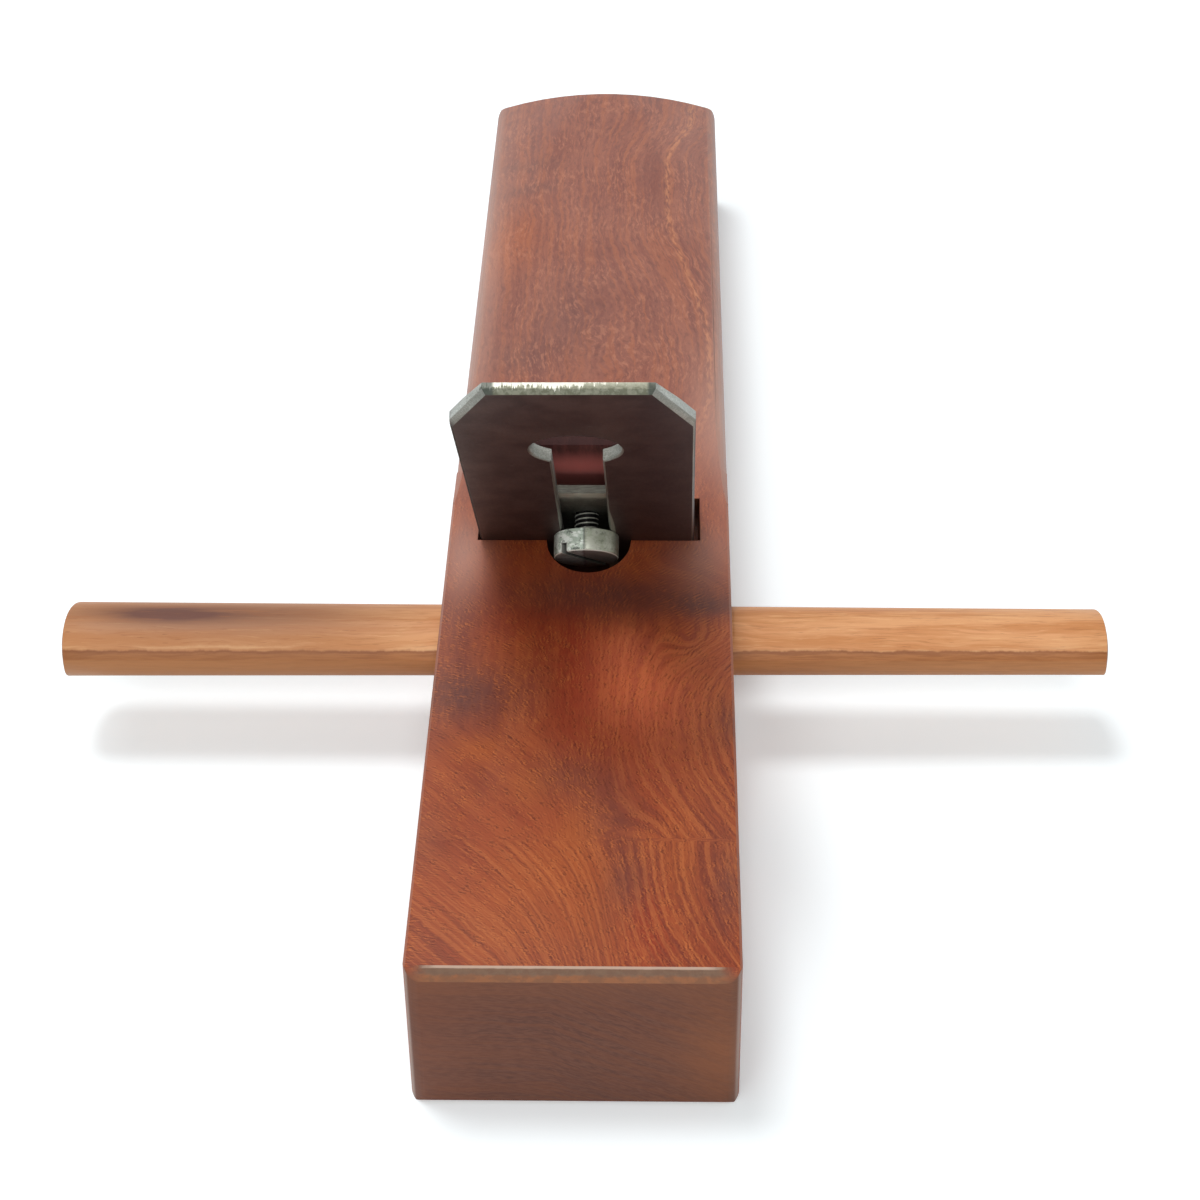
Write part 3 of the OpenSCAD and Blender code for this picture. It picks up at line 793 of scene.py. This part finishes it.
def dark_steel():
    """The iron: blackened flat faces, and ground edges with hammer marks at the top."""
    g = IronSteel("dark_steel")
    paint = IRON_COLORS
    skin = iron_skin(g)
    bed_side = g.face_off.within(-0.35, -0.6) * 0.45 * (1 - g.struck)
    color = g.over(
        iron_ground(g),
        (g.struck, iron_struck(g)),
        (bed_side, paint["bed_side"]),
        (g.left_edge.most(g.side_wall) * 0.9, skin),
        (g.flat, skin),
        (iron_countersink(g) * 0.8, paint["countersink"]),
    )
    metal = (0.9 - g.flat * 0.3 - g.struck * 0.4) * (1 - g.left_edge * 0.9)
    gloss = 0.36 + g.flat * 0.1 + g.grain * 0.14
    relief = g.grain * 0.3 + g.scratch * 0.3 + g.dent * g.struck
    return g.finish(color, gloss, g.bump(relief, 0.05), metal, 0.5 - g.left_edge * 0.5)


CAP_COLORS = palette(
    dark=(84, 85, 78),
    light=(132, 133, 122),
    mottle=(78, 76, 66),
    speck=(168, 168, 154),
    toe_side=(150, 152, 146),
    # painted reflection on the bed side beside the screw
    below=(214, 214, 198),
    top=(84, 84, 76),
)
# Its bed side is darker below these distances up the bed, and painted pale above them, a painted
# reflection of the light it catches there
CAP_LIT_UP = (61, 67)


def bright_steel():
    """The cap iron: ground across, speckled on the bed side, and painted lighter beside the
    screw, a painted reflection.
    """
    g = BedGraph("bright_steel")
    paint = CAP_COLORS
    scratch = g.lumps((0.35, 5, 4), detail=3, roughness=0.6)
    mottle = g.lumps((0.5, 0.5, 0.9), detail=3, roughness=0.65)
    speck = g.lumps((1.6, 1.6, 1.6), roughness=0.6).within(0.54, 0.66)
    # Painted reflection: the bed side painted pale high up, for the light it reflects
    below = g.face_off.within(-0.6, -0.9) * (g.up + mottle * 3).within(*CAP_LIT_UP)
    color = g.over(
        g.blend(scratch.within(0.36, 0.66), paint["dark"], paint["light"]),
        (mottle.within(0.6, 0.4) * 0.5, paint["mottle"]),
        (speck * g.face_off.within(0, -0.5) * 0.4, paint["speck"]),
        (g.face_off.within(0, 0.5) * 0.5, paint["toe_side"]),
        (below * 0.7, paint["below"]),
        (g.face_up.within(0.4, 0.8) * 0.5, paint["top"]),
    )
    return g.finish(color, 0.34 + scratch * 0.2, g.bump(scratch, 0.02), 0.6)


SCREW_COLORS = palette(
    # painted light: the bright base of the head's lit left half
    dark=(186, 200, 184),
    light=(246, 253, 244),
    # painted shade of the head's right half
    right=(150, 152, 130),
    nick=(62, 70, 60),
    seam=(54, 56, 48),
    # painted shade at the head's outline
    end=(70, 74, 66),
    rim=(244, 246, 236),
    face=(104, 84, 86),
    # painted highlight on the thread's crests and painted shade in its roots
    thread_crest=(240, 240, 228),
    thread_root=(22, 20, 20),
    # painted highlight on the slot's lip and painted shade inside the slot
    lip=(214, 216, 206),
    driver=(24, 24, 22),
)
# A dark line on the head, where its lit left half ends; the bright left half and the darker right
# half are painted light and shade. And the distances from its axis over which its outline is
# painted darker, a painted shade where the head turns away
SEAM_ZONE = ((-0.7, 0), (0.25, ENDLESS))
LIT_X = (-0.4, -1.0)
OUTLINE_R = (5.2, 6.4)


def driver_slot(across, g):
    """How far a point is on the slot's bright lip, a painted highlight, and inside the slot,
    painted dark as its shade, by its distance across.
    """
    half = DRIVER_W / 2
    lip = across.within(half + 0.3, half + 0.2) * g.x.within(1, -4)
    lip = lip * g.off.within(DRIVER_FLOOR + 0.2, DRIVER_FLOOR)
    inside = across.within(half + 0.08, half + 0.04)
    return lip, inside * g.off.within(DRIVER_FLOOR + 0.1, DRIVER_FLOOR + 0.02)


def screw_steel():
    """The screw: turned steel with tarnish patches and a worn bright rim, with light and shade
    painted on its head and on its thread.
    """
    g = BedGraph("screw_steel")
    paint = SCREW_COLORS
    mottle = g.lumps((0.5, 0.5, 0.7), detail=4, roughness=0.7)
    turned = g.lumps((0.2, 0.2, 5))
    nick = g.lumps((0.8, 0.8, 0.9), detail=4, roughness=0.65)
    head = g.off.within(0.05, -0.05)
    left = g.x.within(*LIT_X)
    rim = g.face_off.within(-0.5, -0.6) * g.face_off.within(-0.9, -0.8)
    side, along = g.x - SCREW_X, g.up - SCREW_UP
    radius = (along.power(2) + side.power(2)).power(0.5)
    root = radius.within(SHANK_R - 0.1, SHANK_R - 0.26)
    across = abs(side * math.sin(DRIVER_ANGLE) + along * math.cos(DRIVER_ANGLE))
    lip, driver = driver_slot(across, g)
    color = g.over(
        g.blend(mottle.within(0.42, 0.58), paint["dark"], paint["light"]),
        # Painted shade: the head's right half darker than its lit left half
        ((1 - left) * 0.75, paint["right"]),
        (nick.within(0.43, 0.36) * (left * 0.5 + 0.35), paint["nick"]),
        (g.spot(*SEAM_ZONE) * head * 0.7, paint["seam"]),
        # Painted shade: the head's outline darker where it turns away
        (abs(side).within(*OUTLINE_R) * 0.6, paint["end"]),
        (rim, paint["rim"]),
        (g.face_off.within(-0.9, -0.97) * 0.75, paint["face"]),
    )
    # Painted highlight on the thread's crests and painted shade in its roots
    thread = g.blend(root, paint["thread_crest"], paint["thread_root"])
    color = g.over(
        g.blend(head, thread, color),
        # Painted highlight on the slot's lip
        (lip * 0.6, paint["lip"]),
        # Painted shade inside the slot
        (driver * 0.9, paint["driver"]),
    )
    metal = 0.55 - head * (1 - rim) * 0.35
    gloss = 0.28 + mottle * 0.2 + left * 0.14
    return g.finish(color, gloss, g.bump(turned, 0.01), metal)


MATERIALS = {
    "body": stock_wood,
    "plane_iron": dark_steel,
    "cap_iron": bright_steel,
    "cap_iron_screw": screw_steel,
    "wedge": wedge_wood,
    "cross_handle": handle_wood,
}


def soften(node, width):
    """Rounds the sharp edges of a node a little."""
    weld = node.modifiers.new("weld", "WELD")
    weld.merge_threshold = WELD * MM
    bevel = node.modifiers.new("soft_edges", "BEVEL")
    bevel.width = width * MM
    bevel.segments = SOFT_SEGMENTS
    bevel.limit_method = "ANGLE"
    bevel.angle_limit = SOFT_FROM
    bevel.harden_normals = True
    bevel.use_clamp_overlap = True
    for polygon in node.data.polygons:
        polygon.use_smooth = True


def dress_nodes(nodes):
    for name, make in MATERIALS.items():
        node = nodes[name]
        node.data.materials.clear()
        node.data.materials.append(make())
        if name in SOFT_EDGES:
            soften(node, SOFT_EDGES[name])


def new_object(name, data):
    item = bpy.data.objects.new(name, data)
    bpy.context.scene.collection.objects.link(item)
    return item


def screw_frame():
    """Place of the screw: its axis is square to the bed, with the origin at the bed."""
    rise, run = math.sin(BED_ANGLE), math.cos(BED_ANGLE)
    along = Vector((-math.sin(SKEW), -run * math.cos(SKEW), rise * math.cos(SKEW)))
    square = Vector((0, rise, run))
    side = along.cross(square)
    at = Vector((0, BED_FOOT, 0)) + Vector((0, -run, rise)) * EDGE_UP + along * SCREW_AT
    place = Matrix((side, along, square)).transposed().to_4x4()
    place.translation = at * MM
    return place


def new_piece(name, points, faces):
    """A smooth piece from points in millimetres about the place of the screw."""
    place = screw_frame()
    mesh = bpy.data.meshes.new(name)
    mesh.from_pydata([place @ (Vector(p) * MM) for p in points], [], faces)
    mesh.shade_smooth()
    return new_object(name, mesh)


def grid_faces(rings, steps):
    """Faces between rings of points that each close on themselves, and over both ends."""
    faces = []
    for ring in range(rings - 1):
        for k in range(steps):
            low, high = ring * steps, (ring + 1) * steps
            after = (k + 1) % steps
            faces.append((low + k, low + after, high + after, high + k))
    faces.append(tuple(reversed(range(steps))))
    faces.append(tuple(range((rings - 1) * steps, rings * steps)))
    return faces


def screw_shank():
    """Shank with a real thread above its plain collar."""
    rings = int(SHANK_L / THREAD_PITCH * THREAD_RINGS)
    points = []
    for ring in range(rings):
        height = SHANK_L * ring / (rings - 1)
        cut = min(max((height - THREAD_FROM) / THREAD_RUN_IN, 0), 1)
        for k in range(SHANK_STEPS):
            turn = k / SHANK_STEPS
            phase = (height / THREAD_PITCH - turn) % 1
            depth = (1 - abs(1 - 2 * phase)) ** THREAD_CREST
            radius = SHANK_R - THREAD_DEPTH * cut * depth
            angle = turn * math.tau
            points.append((radius * math.cos(angle), radius * math.sin(angle), height))
    return new_piece("screw_shank", points, grid_faces(rings, SHANK_STEPS))


def head_profile():
    """Radius and height of the head's rings, from the middle of its face to the bed."""
    profile = [(HEAD_MIDDLE, -HEAD_H)]
    for angle in map(math.radians, HEAD_ROUND_DEGREES):
        inward, down = 1 - math.sin(angle), 1 - math.cos(angle)
        profile.append((HEAD_R - HEAD_ROUND * inward, -HEAD_H + HEAD_ROUND * down))
    profile += [(HEAD_R, -HEAD_H / 2), (HEAD_R, -HEAD_LOWER_EDGE)]
    profile.append((HEAD_R - HEAD_LOWER_EDGE, 0))
    return profile


def driver_cutter():
    """Block that cuts the driver slot."""
    half = DRIVER_W / 2
    turn = Matrix.Rotation(DRIVER_ANGLE, 4, "Z")
    corners = [
        turn @ Vector((x, y, height))
        for height in (-HEAD_H - DRIVER_OVER, DRIVER_FLOOR)
        for x, y in ((-DRIVER_REACH, -half), (DRIVER_REACH, -half),
                     (DRIVER_REACH, half), (-DRIVER_REACH, half))
    ]
    return new_piece("cutter", corners, grid_faces(2, 4))


def screw_head():
    """Cheese head with a soft rim, and a driver slot."""
    profile = head_profile()
    turns = [math.tau * k / HEAD_STEPS for k in range(HEAD_STEPS)]
    points = [
        (radius * math.cos(angle), radius * math.sin(angle), height)
        for radius, height in profile for angle in turns
    ]
    head = new_piece("screw_head", points, grid_faces(len(profile), HEAD_STEPS))
    cutter = driver_cutter()
    cut = head.modifiers.new("slot", "BOOLEAN")
    cut.object = cutter
    cut.solver = "EXACT"
    shown = head.evaluated_get(bpy.context.evaluated_depsgraph_get())
    mesh = bpy.data.meshes.new_from_object(shown)
    head.modifiers.clear()
    head.data = mesh
    bpy.data.objects.remove(cutter)
    return head


def add_screw(node):
    """The finer head and shank that stand for the CAD screw, with its material."""
    head, shank = screw_head(), screw_shank()
    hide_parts("cap_iron_screw")
    material = node.data.materials[0]
    for piece in (head, shank):
        piece.data.materials.clear()
        piece.data.materials.append(material)
        piece.data.set_sharp_from_angle(angle=SHARP_FROM)
        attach(piece, "screw")


def add_camera():
    camera = new_object("camera", bpy.data.cameras.new("camera"))
    camera.data.sensor_width = SENSOR
    camera.data.lens = LENS
    camera.data.clip_start, camera.data.clip_end = CAMERA_RANGE
    turn = (Matrix.Rotation(math.radians(CAMERA_YAW), 4, "Z")
            @ Matrix.Rotation(math.radians(90 - CAMERA_PITCH), 4, "X")
            @ Matrix.Rotation(math.radians(CAMERA_ROLL), 4, "Z"))
    camera.matrix_world = Matrix.Translation(Vector(CAMERA_AT) * MM) @ turn
    bpy.context.scene.camera = camera


def seen_directly(tree):
    """1 for rays from the camera, from gloss and through glass."""
    path = tree.nodes.new("ShaderNodeLightPath")
    share = path.outputs["Is Camera Ray"]
    for other in ("Is Glossy Ray", "Is Transmission Ray"):
        most = tree.nodes.new("ShaderNodeMath")
        most.operation = "MAXIMUM"
        tree.links.new(share, most.inputs[0])
        tree.links.new(path.outputs[other], most.inputs[1])
        share = most.outputs[0]
    return share


def add_world():
    world = bpy.data.worlds.new("studio")
    world.use_nodes = True
    tree = world.node_tree
    background = tree.nodes["Background"]
    background.inputs["Color"].default_value = (1, 1, 1, 1)
    strength = tree.nodes.new("ShaderNodeMapRange")
    strength.inputs["To Min"].default_value = AMBIENT
    strength.inputs["To Max"].default_value = 1
    tree.links.new(seen_directly(tree), strength.inputs["Value"])
    tree.links.new(strength.outputs[0], background.inputs["Strength"])
    bpy.context.scene.world = world


def add_lamps():
    """Wide suns that shine on the origin, each giving its share of the floor's brightness."""
    for name, (at, size, share) in LAMPS.items():
        at = Vector(at) * MM
        data = bpy.data.lights.new(name, "SUN")
        data.angle = 2 * math.atan(size / 2 / at.length)
        data.energy = share * math.pi / at.normalized().z
        turn = (-at).to_track_quat("-Z", "Y").to_matrix().to_4x4()
        new_object(name, data).matrix_world = Matrix.Translation(at) @ turn


FLOOR_COLORS = palette(white=(240, 248, 251))


def floor_material():
    """Pale matt white that glows a little to the camera."""
    g = Graph("floor")
    shader = g.add("ShaderNodeBsdfPrincipled")
    shader.inputs["Base Color"].default_value = FLOOR_COLORS["white"]
    shader.inputs["Roughness"].default_value = FLOOR_ROUGHNESS
    shader.inputs["Emission Color"].default_value = (1, 1, 1, 1)
    glow = g.math("MULTIPLY", Field(g, seen_directly(g.tree)), FLOOR_GLOW)
    g.feed(shader.inputs["Emission Strength"], glow)
    output = g.add("ShaderNodeOutputMaterial")
    g.tree.links.new(shader.outputs[0], output.inputs["Surface"])
    return g.material


def add_floor():
    half = FLOOR_SIZE / 2
    corners = [(-half, -half, 0), (half, -half, 0), (half, half, 0), (-half, half, 0)]
    mesh = bpy.data.meshes.new("floor")
    mesh.from_pydata(corners, [], [(0, 1, 2, 3)])
    mesh.materials.append(floor_material())
    floor = new_object("floor", mesh)


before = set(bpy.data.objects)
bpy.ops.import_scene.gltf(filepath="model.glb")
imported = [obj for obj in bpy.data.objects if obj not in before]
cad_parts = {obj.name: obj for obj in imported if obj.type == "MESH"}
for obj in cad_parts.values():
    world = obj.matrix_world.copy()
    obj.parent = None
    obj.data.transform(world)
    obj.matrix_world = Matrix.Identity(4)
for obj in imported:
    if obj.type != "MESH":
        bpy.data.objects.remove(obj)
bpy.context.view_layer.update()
dress_nodes(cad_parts)
add_screw(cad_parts["cap_iron_screw"])
add_floor()
add_world()
add_lamps()
add_camera()
bpy.context.scene.view_settings.view_transform = "Standard"
